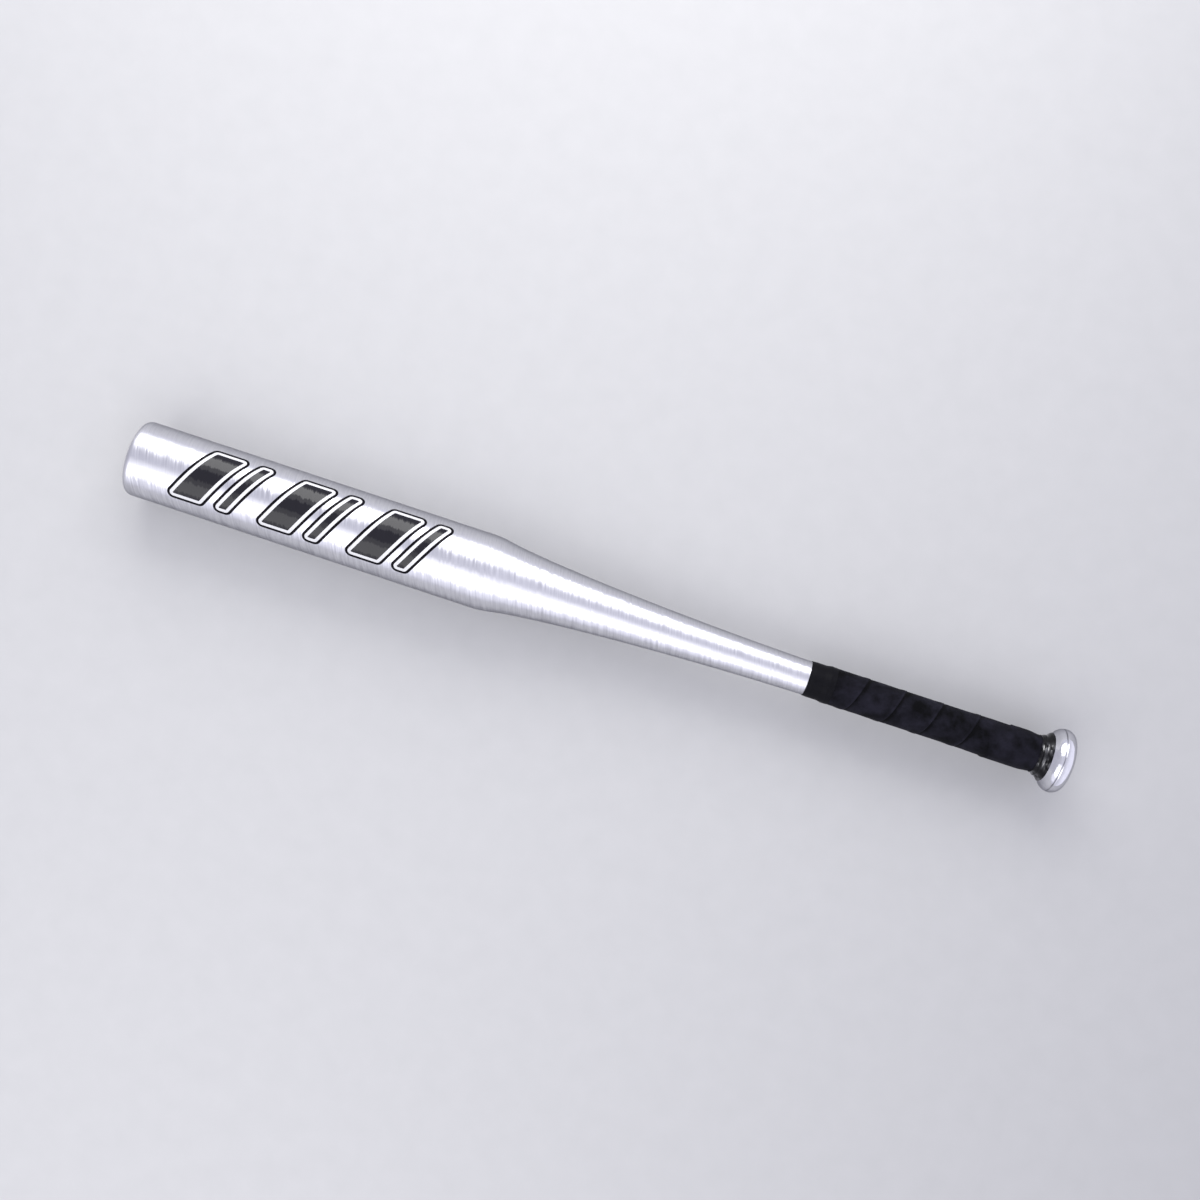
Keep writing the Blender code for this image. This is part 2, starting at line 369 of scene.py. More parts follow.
class Nodes:
    """A material under construction. A node's input takes a socket or a plain value."""

    def __init__(self, name):
        self.material = bpy.data.materials.new(name)
        self.material.use_nodes = True
        self.tree = self.material.node_tree
        self.shader = self.tree.nodes["Principled BSDF"]
        self.place = self.add("ShaderNodeTexCoord").outputs["Object"]
        self.normal = self.add("ShaderNodeNewGeometry").outputs["Normal"]

    def feed(self, socket, value):
        if isinstance(value, bpy.types.NodeSocket):
            self.tree.links.new(value, socket)
        else:
            socket.default_value = value

    def add(self, kind, inputs=(), **settings):
        node = self.tree.nodes.new(kind)
        for name, value in settings.items():
            setattr(node, name, value)
        for key, value in dict(inputs).items():
            self.feed(node.inputs[key], value)
        return node

    def math(self, operation, first, second=0.0):
        return self.add("ShaderNodeMath", {0: first, 1: second}, operation=operation).outputs[0]

    def vector(self, operation, first, second):
        inputs = {0: first, 1: second}
        return self.add("ShaderNodeVectorMath", inputs, operation=operation).outputs[0]

    def scaled(self, vector, scale):
        node = self.add("ShaderNodeVectorMath", {0: vector, "Scale": scale}, operation="SCALE")
        return node.outputs[0]

    def length(self, vector):
        return self.add("ShaderNodeVectorMath", {0: vector}, operation="LENGTH").outputs["Value"]

    def parts(self, vector):
        return self.add("ShaderNodeSeparateXYZ", {0: vector}).outputs

    def joined(self, x, y=0.0, z=0.0):
        return self.add("ShaderNodeCombineXYZ", {0: x, 1: y, 2: z}).outputs[0]

    def marked(self, name):
        """The number that mark() keeps under that name."""
        return self.add("ShaderNodeAttribute", attribute_name=name).outputs["Fac"]

    def stretch(self, scales, slant=0.0):
        """The place scaled on each axis, with X first slanted by a share of Y."""
        x, y, z = self.parts(self.place)
        run = self.math("ADD", x, self.math("MULTIPLY", y, slant))
        moved = self.joined(run, y, self.math("SUBTRACT", z, AXIS_Z))
        return self.vector("MULTIPLY", moved, scales)

    def noise(self, place, scale=1.0, detail=3.0, roughness=0.5):
        inputs = {"Vector": place, "Scale": scale, "Detail": detail, "Roughness": roughness}
        return self.add("ShaderNodeTexNoise", inputs).outputs["Fac"]

    def spread(self, value, low, high, new_low, new_high):
        """value moved from low..high to new_low..new_high, and kept inside."""
        inputs = {0: value, 1: low, 2: high, 3: new_low, 4: new_high}
        return self.add("ShaderNodeMapRange", inputs).outputs[0]

    def colour(self, share, first, second):
        """A mix of two colours, each a socket or a plain (red, green, blue)."""
        inputs = {0: share}
        for key, value in ((6, first), (7, second)):
            inputs[key] = value if isinstance(value, bpy.types.NodeSocket) else (*value, 1)
        return self.add("ShaderNodeMix", inputs, data_type="RGBA").outputs[2]

    def bump(self, height, depth, normal=None):
        """A bump of that depth in metres."""
        inputs = {"Height": height, "Distance": depth, "Strength": 1.0}
        if normal is not None:
            inputs["Normal"] = normal
        return self.add("ShaderNodeBump", inputs).outputs[0]

    def finish(self, **sockets):
        for name, value in sockets.items():
            self.feed(self.shader.inputs[name.replace("_", " ")], value)
        return self.material


ALONG = (1.0, 0.0, 0.0)
STREAK_SLANT = 0.27
BROAD_SHARE = 0.15
SPUN_RING_SCALE = 2600
INK_UNEVENNESS = 0.03


def streaked_normal(nodes, streak, across, along):
    """The surface normal tipped a little, across and along the bat, by two streak patterns."""
    round_bat = nodes.vector("CROSS_PRODUCT", nodes.normal, ALONG)
    tip = nodes.scaled(round_bat, nodes.spread(streak[0], 0, 1, -across, across))
    lean = nodes.scaled(nodes.joined(1.0), nodes.spread(streak[1], 0, 1, -along, along))
    tipped = nodes.vector("ADD", nodes.vector("ADD", nodes.normal, tip), lean)
    return nodes.vector("NORMALIZE", tipped, ALONG)


def brushed_aluminium():
    nodes = Nodes("brushed_aluminium_visual")
    fine = nodes.noise(nodes.stretch((950, 60, 60), STREAK_SLANT), detail=2, roughness=0.5)
    broad = nodes.noise(nodes.stretch((440, 40, 40), STREAK_SLANT), detail=1, roughness=0.5)
    haze = nodes.noise(nodes.stretch((30, 60, 60)), detail=3)
    broad_part = nodes.math("MULTIPLY", broad, BROAD_SHARE)
    both = nodes.math("ADD", nodes.math("MULTIPLY", fine, 1 - BROAD_SHARE), broad_part)
    tone = nodes.spread(both, 0.3, 0.7, 0, 1)
    cloud = nodes.spread(haze, 0.3, 0.7, 0.30, 0.37)
    tangent = nodes.add("ShaderNodeTangent", direction_type="RADIAL", axis="X").outputs[0]
    return nodes.finish(
        Base_Color=nodes.colour(tone, (0.57, 0.57, 0.605), (0.71, 0.71, 0.74)),
        Metallic=1.0,
        Roughness=cloud,
        Anisotropic=0.7,
        Anisotropic_Rotation=0.25,
        Tangent=tangent,
        Normal=streaked_normal(nodes, (both, fine), across=0.15, along=0.10),
        Specular_Tint=(0.50, 0.50, 0.52, 1),
    )


def spun_aluminium():
    """The tube's end face, with the fine rings that its spinning left."""
    nodes = Nodes("spun_aluminium_visual")
    _, y, z = nodes.parts(nodes.stretch((1, 1, 1)))
    radius = nodes.length(nodes.joined(0.0, y, z))
    ring_place = nodes.joined(nodes.math("MULTIPLY", radius, SPUN_RING_SCALE))
    rings = nodes.noise(ring_place, detail=3, roughness=0.7)
    smudge = nodes.noise(nodes.place, scale=140, detail=3)
    return nodes.finish(
        Base_Color=nodes.colour(rings, (0.52, 0.52, 0.54), (0.66, 0.66, 0.68)),
        Metallic=0.9,
        Roughness=nodes.spread(smudge, 0.3, 0.7, 0.26, 0.40),
        Normal=nodes.bump(rings, 0.04 * MM),
    )


def polished_aluminium():
    nodes = Nodes("polished_aluminium_visual")
    lines = nodes.noise(nodes.stretch((300, 900, 260), 0.6), detail=4, roughness=0.65)
    dull = nodes.noise(nodes.place, scale=190, detail=4, roughness=0.6)
    waves = nodes.noise(nodes.place, scale=420, detail=2)
    bumps = nodes.bump(waves, 0.06 * MM, nodes.bump(lines, 0.02 * MM))
    # The turned line is painted dark as shade in its groove, patchy round the knob.
    line_shade = nodes.marked("line_painted_shade")
    bright = nodes.colour(dull, (0.58, 0.58, 0.62), (0.76, 0.76, 0.79))
    return nodes.finish(
        Base_Color=nodes.colour(line_shade, bright, (0.14, 0.14, 0.16)),
        Metallic=1.0,
        Roughness=nodes.spread(dull, 0.3, 0.75, 0.07, 0.15),
        Normal=bumps,
        Specular_Tint=(0.55, 0.55, 0.57, 1),
    )


def weld_aluminium():
    nodes = Nodes("weld_aluminium_visual")
    soot = nodes.noise(nodes.place, scale=500, detail=5, roughness=0.7)
    return nodes.finish(
        Base_Color=nodes.colour(soot, (0.34, 0.34, 0.36), (0.66, 0.66, 0.68)),
        Metallic=0.9,
        Roughness=nodes.spread(soot, 0.3, 0.7, 0.35, 0.6),
        Normal=nodes.bump(soot, 0.08 * MM),
    )


def leather():
    """Black synthetic leather, napped like suede, with its free edges painted paler, partly as wear
    and partly as a highlight, and painted shade in the creases under them.
    """
    nodes = Nodes("black_synthetic_leather_visual")
    cells = nodes.add("ShaderNodeTexVoronoi", {"Vector": nodes.place, "Scale": 1900.0})
    nap = nodes.noise(nodes.place, scale=3200, detail=4, roughness=0.7)
    pores = nodes.math("MULTIPLY", cells.outputs["Distance"], 0.6)
    grain = nodes.math("ADD", pores, nodes.math("MULTIPLY", nap, 0.7))
    cloud = nodes.noise(nodes.place, scale=75, detail=4, roughness=0.6)
    patches = nodes.spread(cloud, 0.35, 0.65, 0, 1)
    # The edge mark brightens the free edges, partly as wear and partly as a painted highlight, and
    # paints shade into the creases.
    share = nodes.math("ADD", nodes.math("MULTIPLY", patches, 0.9), nodes.marked("edge_rub_and_painted_light"))
    return nodes.finish(
        Base_Color=nodes.colour(share, (0.0006, 0.0006, 0.0012), (0.0120, 0.0115, 0.0185)),
        Roughness=nodes.spread(nap, 0.3, 0.7, 0.70, 0.88),
        Normal=nodes.bump(grain, 0.10 * MM),
        Specular_IOR_Level=0.08,
        Sheen_Weight=0.02,
        Sheen_Roughness=0.4,
    )


def cloth_tape():
    """Black finishing tape, with stretch creases that run round the bat."""
    nodes = Nodes("black_cloth_tape_visual")
    folds = nodes.noise(nodes.stretch((900, 60, 60), 0.2), detail=3, roughness=0.6)
    dust = nodes.noise(nodes.place, scale=900, detail=4)
    return nodes.finish(
        Base_Color=nodes.colour(dust, (0.0015, 0.0014, 0.0020), (0.0080, 0.0080, 0.0104)),
        Roughness=nodes.spread(dust, 0.3, 0.7, 0.4, 0.6),
        Normal=nodes.bump(folds, 0.03 * MM),
        Specular_IOR_Level=0.05,
    )


def glossy_tape():
    """Smooth black tape with a few polished patches."""
    nodes = Nodes("black_gloss_tape_visual")
    folds = nodes.noise(nodes.stretch((900, 120, 120), 0.3), detail=3, roughness=0.6)
    dust = nodes.noise(nodes.place, scale=900, detail=4)
    return nodes.finish(
        Base_Color=nodes.colour(dust, (0.0012, 0.0011, 0.0018), (0.0028, 0.0026, 0.0036)),
        Roughness=nodes.spread(dust, 0.3, 0.7, 0.26, 0.36),
        Normal=nodes.bump(folds, 0.02 * MM),
        Specular_IOR_Level=0.12,
        Coat_Weight=nodes.marked("patch_shine"),
        Coat_Roughness=0.06,
        Coat_IOR=2.2,
    )


def rubber():
    nodes = Nodes("black_rubber_visual")
    pits = nodes.noise(nodes.place, scale=2200, detail=4, roughness=0.7)
    bloom = nodes.noise(nodes.place, scale=240, detail=3)
    return nodes.finish(
        Base_Color=nodes.colour(bloom, (0.010, 0.010, 0.011), (0.032, 0.031, 0.031)),
        Roughness=nodes.spread(pits, 0.3, 0.7, 0.55, 0.75),
        Normal=nodes.bump(pits, 0.06 * MM),
        Specular_IOR_Level=0.4,
    )


def ink(name, dark, light, rough, gloss):
    """Screen-printed ink over the brushed metal, which keeps a part of its streaks."""
    nodes = Nodes(name)
    streak = nodes.noise(nodes.stretch((900, 60, 60), STREAK_SLANT), detail=3)
    ripple = nodes.noise(nodes.place, scale=700, detail=2)
    return nodes.finish(
        Base_Color=nodes.colour(streak, dark, light),
        Roughness=nodes.spread(ripple, 0.3, 0.7, rough - INK_UNEVENNESS, rough + INK_UNEVENNESS),
        Normal=streaked_normal(nodes, (streak, ripple), across=0.10, along=0.04),
        Specular_IOR_Level=gloss,
    )


# ---------------------------------------------------------------- the bat's pieces

def end_face():
    """The spun end, from its hole out to its corner: a dished floor, a soft slope and rings."""
    points = [(END_HOLE_RADIUS, LENGTH - DISH_DEPTH - 0.3 * MM)]
    rim = BARREL_RADIUS - END_CORNER_RADIUS
    for radius in np.linspace(END_HOLE_RADIUS + 0.2 * MM, rim, 92):
        rise = smooth(radius, DISH_FLOOR_RADIUS, DISH_RADIUS + DISH_SLOPE)
        fade_in = smooth(radius, DISH_RADIUS, DISH_RADIUS + 2 * MM)
        fade_out = 1 - smooth(radius, rim - 1.5 * MM, rim)
        ring = 1 + sin(2 * pi * radius / END_RING_PITCH)
        height = LENGTH - DISH_DEPTH * (1 - rise) - END_RING_DEPTH * fade_in * fade_out * ring
        points.append((radius, height))
    return points


def tube_outside():
    corner = (BARREL_RADIUS - END_CORNER_RADIUS, LENGTH - END_CORNER_RADIUS)
    points = end_face() + arc(corner, END_CORNER_RADIUS, 90, 0, 12)[1:]
    points += straight(points[-1], (BARREL_RADIUS, BARREL_FOOT + SHOULDER_HALF_LENGTH), 12)[:-1]
    points += shoulder_curve(10) + taper_curve(64)[1:]
    points += straight(points[-1], (HANDLE_RADIUS, TUBE_FOOT + WELD_CUT), 6)
    return points + [(HANDLE_RADIUS - WELD_CUT, TUBE_FOOT)]


def tube_inside():
    wall = [(radius - WALL, height) for radius, height in shoulder_curve(2) + taper_curve(16)[1:]]
    ceiling = LENGTH - END_WALL
    corner = (BARREL_RADIUS - WALL - END_INNER_CORNER, ceiling - END_INNER_CORNER)
    points = [(HANDLE_RADIUS - WALL, TUBE_FOOT)] + wall[::-1]
    return points + arc(corner, END_INNER_CORNER, 0, 90, 4) + [(END_HOLE_RADIUS, ceiling)]


def tube_piece():
    tube = turned("bat_tube_visual", tube_outside() + tube_inside(), 256)
    ride_as(tube, "bat_tube", "brushed_aluminium", brushed_aluminium(), spun_aluminium())
    end_x = KNOB_FACE_X - LENGTH
    for face in tube.data.polygons:
        faces_end = face.normal.x < -0.75
        if faces_end and face.center.x < end_x + 1.0 * MM + DISH_DEPTH:
            face.material_index = 1


def plug_piece():
    under = LENGTH - DISH_DEPTH + 0.02 * MM
    crown = under + PLUG_CROWN_HEIGHT
    stem = END_HOLE_RADIUS - 0.1 * MM
    barb_top = LENGTH - END_WALL - 0.05 * MM
    tip = barb_top - PLUG_TIP_DEPTH
    outline = [(radius * MM, crown - drop * MM) for radius, drop in PLUG_FACE]
    edge = (PLUG_FLANGE_RADIUS - PLUG_EDGE_RADIUS, under + 0.55 * MM)
    outline += arc(edge, PLUG_EDGE_RADIUS, 75, -40, 8)
    outline += [(PLUG_FLANGE_RADIUS - 0.35 * MM, under), (stem, under), (stem, barb_top)]
    outline += [(PLUG_BARB_RADIUS, barb_top), (PLUG_BARB_RADIUS, barb_top - PLUG_BARB_LIP)]
    outline += [(PLUG_TIP_RADIUS, tip), (0, tip)]
    plug = turned("barrel_end_plug_visual", outline, 128)
    ride_as(plug, "barrel_end_plug", "black_rubber", rubber())


def knob_line(height, angle):
    """How deep, from 0 to 1, the thin turned line round the knob's widest part is."""
    wandered = height + KNOB_LINE_WANDER * np.sin(3 * angle + 1)
    return bump_at(wandered, KNOB_LINE_HEIGHT, KNOB_LINE_HALF_WIDTH)


def hand_polish(radius, height, angle):
    """Slight flats and waves left by polishing by hand, fading out towards the neck."""
    points = places(radius, angle, height)
    amount = (1 - smooth(height, 13 * MM, 18 * MM)) * smooth(radius, 6 * MM, 16 * MM)
    waves = 0.09 * MM * wobble(points, 9 * MM, 3) + 0.03 * MM * wobble(points, 3 * MM, 4)
    return amount * waves - KNOB_LINE_DEPTH * knob_line(height, angle)


def knob_outline():
    points = [(0, SPIGOT_END), (SPIGOT_RADIUS - SPIGOT_CHAMFER, SPIGOT_END)]
    points += [(SPIGOT_RADIUS, SPIGOT_END - SPIGOT_CHAMFER), (SPIGOT_RADIUS, NECK_END)]
    points += [(NECK_RADIUS - WELD_CUT, NECK_END), (NECK_RADIUS, NECK_END - WELD_CUT)]
    for share in np.linspace(0, 1, 14):
        height = NECK_FOOT - NECK_FILLET * sin(KNOB_CONE) * share
        points.append((knob_skin(0, height), height))
    points += straight(points[-1], knob_shoulder(1)[0], 10)
    points += knob_shoulder(48)[1:]
    points += arc((KNOB_RADIUS - KNOB_EQUATOR, KNOB_EQUATOR), KNOB_EQUATOR, 0, -90, 22)[1:]
    points += straight(points[-1], (KNOB_DIMPLE_RADIUS, 0), 14)
    return points + [(KNOB_DIMPLE_RADIUS * 0.85, 0.12 * MM), (0, KNOB_DIMPLE_DEPTH)]


def knob_piece():
    knob = turned("knob_visual", knob_outline(), 256, hand_polish)
    points, radius, angle, height = places_of(knob)
    outer = radius > KNOB_RADIUS - 3 * MM
    patchy = np.clip(0.75 + 0.6 * wobble(points, 5 * MM, 12), 0.15, 1)
    # Painted shade along the turned line round the knob's widest part, patchy round it.
    mark(knob.data, "line_painted_shade", outer * knob_line(height, angle) * patchy)
    ride_as(knob, "knob", "polished_aluminium", polished_aluminium())


def weld_ripples(radius, height, angle):
    face = smooth(radius, HANDLE_RADIUS - 0.4 * MM, HANDLE_RADIUS)
    lean = WELD_RIPPLE_LEAN * (height - NECK_END)
    return -face * WELD_RIPPLE_DEPTH * (1 + np.sin(WELD_RIPPLES * angle + lean))


def weld_piece():
    root = HANDLE_RADIUS - WALL
    middle = (WELD_TOP + WELD_BOTTOM) / 2
    half = (WELD_TOP - WELD_BOTTOM) / 2 + WELD_OVERLAP
    outline = [(root, WELD_TOP), (HANDLE_RADIUS - WELD_CUT, WELD_TOP)]
    for t in np.linspace(-1, 1, 15):
        outline.append((WELD_CROWN_RADIUS - WELD_CROWN_FALL * t * t, middle - half * t))
    outline += [(NECK_RADIUS - WELD_CUT, WELD_BOTTOM), (root, WELD_BOTTOM)]
    weld = turned("knob_weld_visual", outline, 240, weld_ripples)
    ride_as(weld, "knob_weld", "weld_aluminium", weld_aluminium())


# The places of the strip's rows inside one turn, above its free edge: close together at the edge.
WRAP_ROWS = MM * np.concatenate(
    (np.arange(0, 2.4, 0.2), np.arange(2.4, 24.2, 0.55), [24.3, 24.6, 24.85])
)
WRAP_COLUMNS = 180


def strip_radius(turn_place, height, angle, first_turn):
    """The grip's smooth outer radius: its swell, its double first turn, its laps and creases."""
    below_next = WRAP_PITCH - turn_place
    lap = smooth(turn_place, 0, 0.5 * MM) * (1 - smooth(turn_place, 2.4 * MM, 6.2 * MM))
    crease = bump_at(np.minimum(turn_place, below_next), 0, 0.35 * MM)
    radius = GRIP_RADIUS + GRIP_SWELL * (1 - smooth(height, *GRIP_SWELL_RANGE))
    radius = radius + FIRST_TURN_EXTRA * first_turn
    radius = radius + (1 - first_turn) * (LAP_HEIGHT * lap - CREASE_DEPTH * crease)
    return radius - GRIP_FOOT_DRAW * (1 - smooth(height, *GRIP_FOOT_RANGE))


def strip_waves(points, turn_place, angle):
    """Soft unevenness, and small pleats beside the edges."""
    below_next = WRAP_PITCH - turn_place
    round_way = angle * PATTERN_RADIUS / PLEAT_SIZE[0]
    pleats = np.stack((round_way, turn_place / PLEAT_SIZE[1], 0 * angle), axis=2)
    near_edge = np.exp(-turn_place / (3.5 * MM)) + np.exp(-below_next / (3.0 * MM))
    soft = 0.10 * MM * wobble(points, 15 * MM, 1) + 0.045 * MM * wobble(points, 3.2 * MM, 2)
    return soft + 0.055 * MM * near_edge * wobble(pleats, 1, 5)


def strip_face(turn_place, height, angle):
    """The grip's outer radius, and its edge mark, at a place inside its turn above the strip's free
    edge. The mark is positive where the edge is painted pale, partly as wear and partly as a
    painted highlight, and negative in the crease under it, where shade is painted."""
    along_strip = height + WRAP_PITCH * angle / (2 * pi)
    first_turn = 1 - smooth(along_strip, *FIRST_TURN_RANGE)
    points = places(PATTERN_RADIUS, angle, height)
    radius = strip_radius(turn_place, height, angle, first_turn)
    radius = radius + strip_waves(points, turn_place, angle)
    rubbed = 0.5 + 0.5 * wobble(points, 4 * MM, 6)
    # pale is partly wear and partly a painted highlight on the raised free edge; shade is painted
    # shade in the crease under the next turn's edge.
    pale = 0.5 * bump_at(turn_place, 0.8 * MM, 0.75 * MM) * rubbed
    shade = 0.5 * bump_at(WRAP_PITCH - turn_place, 0.2 * MM, 1.9 * MM)
    return radius, (1 - first_turn) * (pale - shade)


def under_bands(radius, height):
    """The grip drawn in where a finishing band covers it."""
    top = smooth(height, TOP_BAND_START - 1.0 * MM, TOP_BAND_START + 0.6 * MM)
    radius = radius * (1 - top) + UNDER_BAND_RADIUS * top
    foot = 1 - smooth(height, RING_BAND_END - 0.1 * MM, RING_BAND_END + 0.6 * MM)
    return radius * (1 - foot) + np.minimum(knob_skins(0.85 * MM, height), radius) * foot


def strip_faces(rows):
    """The sheet's faces. At the seam of its columns each row meets the row one turn below."""
    faces = []
    for row in range(rows - 1):
        for column in range(WRAP_COLUMNS):
            after = (column + 1) % WRAP_COLUMNS
            shift = 0 if after else -len(WRAP_ROWS)
            if row + shift < 0:
                continue
            near = row * WRAP_COLUMNS
            far = (row + shift) * WRAP_COLUMNS
            faces.append((near + column, near + WRAP_COLUMNS + column,
                          far + WRAP_COLUMNS + after, far + after))
    return faces


def strip_sheet():
    """The strip's face as a helical sheet: points, faces, and edge marks of wear, painted highlight
    and painted shade.
    """
    # Known fault: the sheet starts one turn too far up, so the grip's foot is open on the -Y side
    # and its end faces lie across the bore. In a trial, - 2 in this line closed the mesh.
    first = int((GRIP_START - WRAP_SEAM) / WRAP_PITCH) - 1
    last = int((GRIP_END - WRAP_SEAM) / WRAP_PITCH) + 3
    turns = np.arange(first, last)
    helix = (WRAP_SEAM + turns[:, None] * WRAP_PITCH + WRAP_ROWS[None, :]).ravel()
    angle = angles_round(WRAP_COLUMNS) - pi
    height = helix[:, None] - WRAP_PITCH * angle[None, :] / (2 * pi)
    turn_place = np.repeat(np.tile(WRAP_ROWS, len(turns))[:, None], WRAP_COLUMNS, axis=1)
    angles = np.repeat(angle[None, :], len(helix), axis=0)
    radius, rub_and_painted_light = strip_face(turn_place, height, angles)
    points = places(under_bands(radius, height), angles, height).reshape(-1, 3)
    return points, strip_faces(len(helix)), rub_and_painted_light.ravel()


def boundary_loop(work, plane_x):
    return [
        edge for edge in work.edges
        if edge.is_boundary and all(abs(v.co.x - plane_x) < 1e-6 for v in edge.verts)
    ]


def bore_rings(work):
    """The grip's bore, from its top down: over the tube, the weld and the knob's neck. Returns
    each ring's points."""
    clear = 0.05 * MM
    over_weld = NECK_RADIUS + 0.2 * MM
    profile = [(tube_radius(GRIP_END) + clear, GRIP_END), (HANDLE_RADIUS + clear, TAPER_START)]
    profile += [(HANDLE_RADIUS + clear, 30 * MM), (over_weld, 28.5 * MM)]
    profile += [(over_weld, NECK_FOOT + 0.6 * MM)]
    profile += [(knob_skin(clear, h), h) for h in np.linspace(NECK_FOOT, GRIP_START, 5)]
    angles = angles_round(WRAP_COLUMNS)
    rings = [
        [work.verts.new(place(radius, angle, height)) for angle in angles]
        for radius, height in profile
    ]
    for upper, lower in zip(rings, rings[1:]):
        for side in range(WRAP_COLUMNS):
            after = (side + 1) % WRAP_COLUMNS
            work.faces.new((upper[side], lower[side], lower[after], upper[after]))
    work.edges.ensure_lookup_table()
    return rings


def close_grip(work):
    """Cuts the sheet off square at both ends and joins it to a bore."""
    for height, outwards in ((GRIP_START, 1), (GRIP_END, -1)):
        cut(work, (KNOB_FACE_X - height, 0, 0), (outwards, 0, 0), keep_beyond=False)
    loose = [v for v in work.verts if not v.link_faces]
    bmesh.ops.delete(work, geom=loose, context="VERTS")
    rims = [boundary_loop(work, KNOB_FACE_X - height) for height in (GRIP_END, GRIP_START)]
    rings = bore_rings(work)
    for rim, ring in zip(rims, (set(rings[0]), set(rings[-1]))):
        inner = [e for e in work.edges if e.is_boundary and ring.issuperset(e.verts)]
        bmesh.ops.bridge_loops(work, edges=rim + inner)
    bmesh.ops.recalc_face_normals(work, faces=work.faces)
    face_out(work)


def grip_piece():
    points, faces, rub_and_painted_light = strip_sheet()
    mesh = bpy.data.meshes.new("grip_wrap_visual")
    mesh.from_pydata([tuple(p) for p in points], [], faces)
    # Edge marks: wear and painted highlight on the free edges, painted shade in the creases.
    mark(mesh, "edge_rub_and_painted_light", rub_and_painted_light)
    work = bmesh.new()
    work.from_mesh(mesh)
    close_grip(work)
    work.to_mesh(mesh)
    work.free()
    grip = smooth_piece("grip_wrap_visual", mesh, 50)
    ride_as(grip, "grip_wrap", "black_synthetic_leather", leather())


def tape_edge(height, middle, width):
    """1 across one turn of tape and 0 beside it, with a soft step at each edge."""
    edge = 0.16 * MM
    low = smooth(height, middle - width / 2 - edge, middle - width / 2 + edge)
    high = 1 - smooth(height, middle + width / 2 - edge, middle + width / 2 + edge)
    return low * high


def layers_of(turns, shape, height, angle):
    """What several turns of tape add, each with that shape from one edge to the other."""
    layers = 0
    for middle, sway, start, width, thickness in turns:
        swayed = middle * MM + sway * MM * np.cos(angle + start)
        layers = layers + thickness * MM * shape(height, swayed, width * MM)
    return layers


def top_band_layers(radius, height, angle):
    outer = radius > tube_radius(TOP_BAND_END) + 0.2 * MM
    points = places(radius, angle, height) * np.array((2.2, 1, 1))
    creases = 0.05 * MM * wobble(points, 6 * MM, 8)
    layers = layers_of(TOP_TURNS, tape_edge, height, angle)
    return np.where(outer, layers + creases, 0)


def top_band_piece():
    step = GRIP_END + 0.1 * MM
    outline = []
    for height in np.linspace(TOP_BAND_END, TOP_BAND_START, 76):
        over_grip = 1 - smooth(height, GRIP_END - 1.0 * MM, GRIP_END + 3.5 * MM)
        over_tube = (tube_radius(height) + 0.40 * MM) * (1 - over_grip)
        outline.append((over_tube + TOP_BAND_RADIUS * over_grip, height))
    outline[0] = (outline[0][0] - 0.12 * MM, TOP_BAND_END)
    outline.insert(1, (outline[1][0], TOP_BAND_END - 0.10 * MM))
    outline += [(TOP_BAND_INNER_RADIUS, TOP_BAND_START), (TOP_BAND_INNER_RADIUS, step)]
    outline += [(tube_radius(h) + 0.01 * MM, h) for h in np.linspace(step, TOP_BAND_END, 8)]
    band = turned("grip_top_band_visual", outline, 200, top_band_layers)
    ride_as(band, "grip_top_band", "black_finishing_tape", cloth_tape())


def ring_band_layers(radius, height, angle):
    lift = smooth(radius - knob_skins(0.3 * MM, height), 0, 0.2 * MM)
    points = places(radius, angle, height) * np.array((1.5, 1, 1))
    layers = layers_of(RING_TURNS, tape_edge, height, angle)
    layers = layers + layers_of(RING_RIDGES, bump_at, height, angle)
    pleats = 0.14 * MM * wobble(points, 3.2 * MM, 9)
    return lift * (layers + pleats)


def ring_band_outline():
    step = GRIP_START - 0.1 * MM
    outside = []
    for height in np.linspace(RING_BAND_END, RING_BAND_START, 64):
        lift = 0.42 * MM + 0.82 * MM * smooth(height, 16.9 * MM, 19.2 * MM)
        outside.append((knob_skin(lift, height), height))
    under = [(knob_skin(0.02 * MM, h), h) for h in np.linspace(RING_BAND_START, step, 8)]
    lap = [(knob_skin(0.90 * MM, h), h) for h in np.linspace(step, RING_BAND_END, 6)]
    return outside + under + lap


def ring_band_piece():
    band = turned("knob_ring_band_visual", ring_band_outline(), 256, ring_band_layers)
    points, _, angle, _ = places_of(band)
    shine = 0
    for middle in POLISHED_PLACES:
        away = (np.degrees(angle) - middle + 180) % 360 - 180
        shine = shine + bump_at(away, 0, POLISHED_REACH)
    ragged = smooth(wobble(points * np.array((1.6, 1, 1)), 3.0 * MM, 21), -0.25, 0.15)
    mark(band.data, "patch_shine", 0.04 + 0.96 * np.clip(shine, 0, 1) * ragged)
    ride_as(band, "knob_ring_band", "black_finishing_tape", glossy_tape())


# ---------------------------------------------------------------- the print

PRINT_LOW = radians(-44)
PRINT_HIGH = radians(54)
PRINT_SLANT_DEGREES = 29
PRINT_SLANT = tan(radians(PRINT_SLANT_DEGREES))
PRINT_END = 606.4 * MM
PRINT_CORNER = 4.5 * MM
INLINE_INSET = 1.8 * MM
FILL_INSET = 3.9 * MM
BAR_WIDTHS = (27 * MM, 14 * MM)
BAR_GAP = 4 * MM
GROUP_GAP = 15 * MM
GROUPS = 3
CUT_STEP = radians(1.5)
# How far each layer's under and upper face stand off the metal. The lowest reaches into it.
OUTLINE_FACES = (-0.030 * MM, 0.030 * MM)
INLINE_FACES = (0.010 * MM, 0.048 * MM)
FILL_FACES = (0.030 * MM, 0.066 * MM)


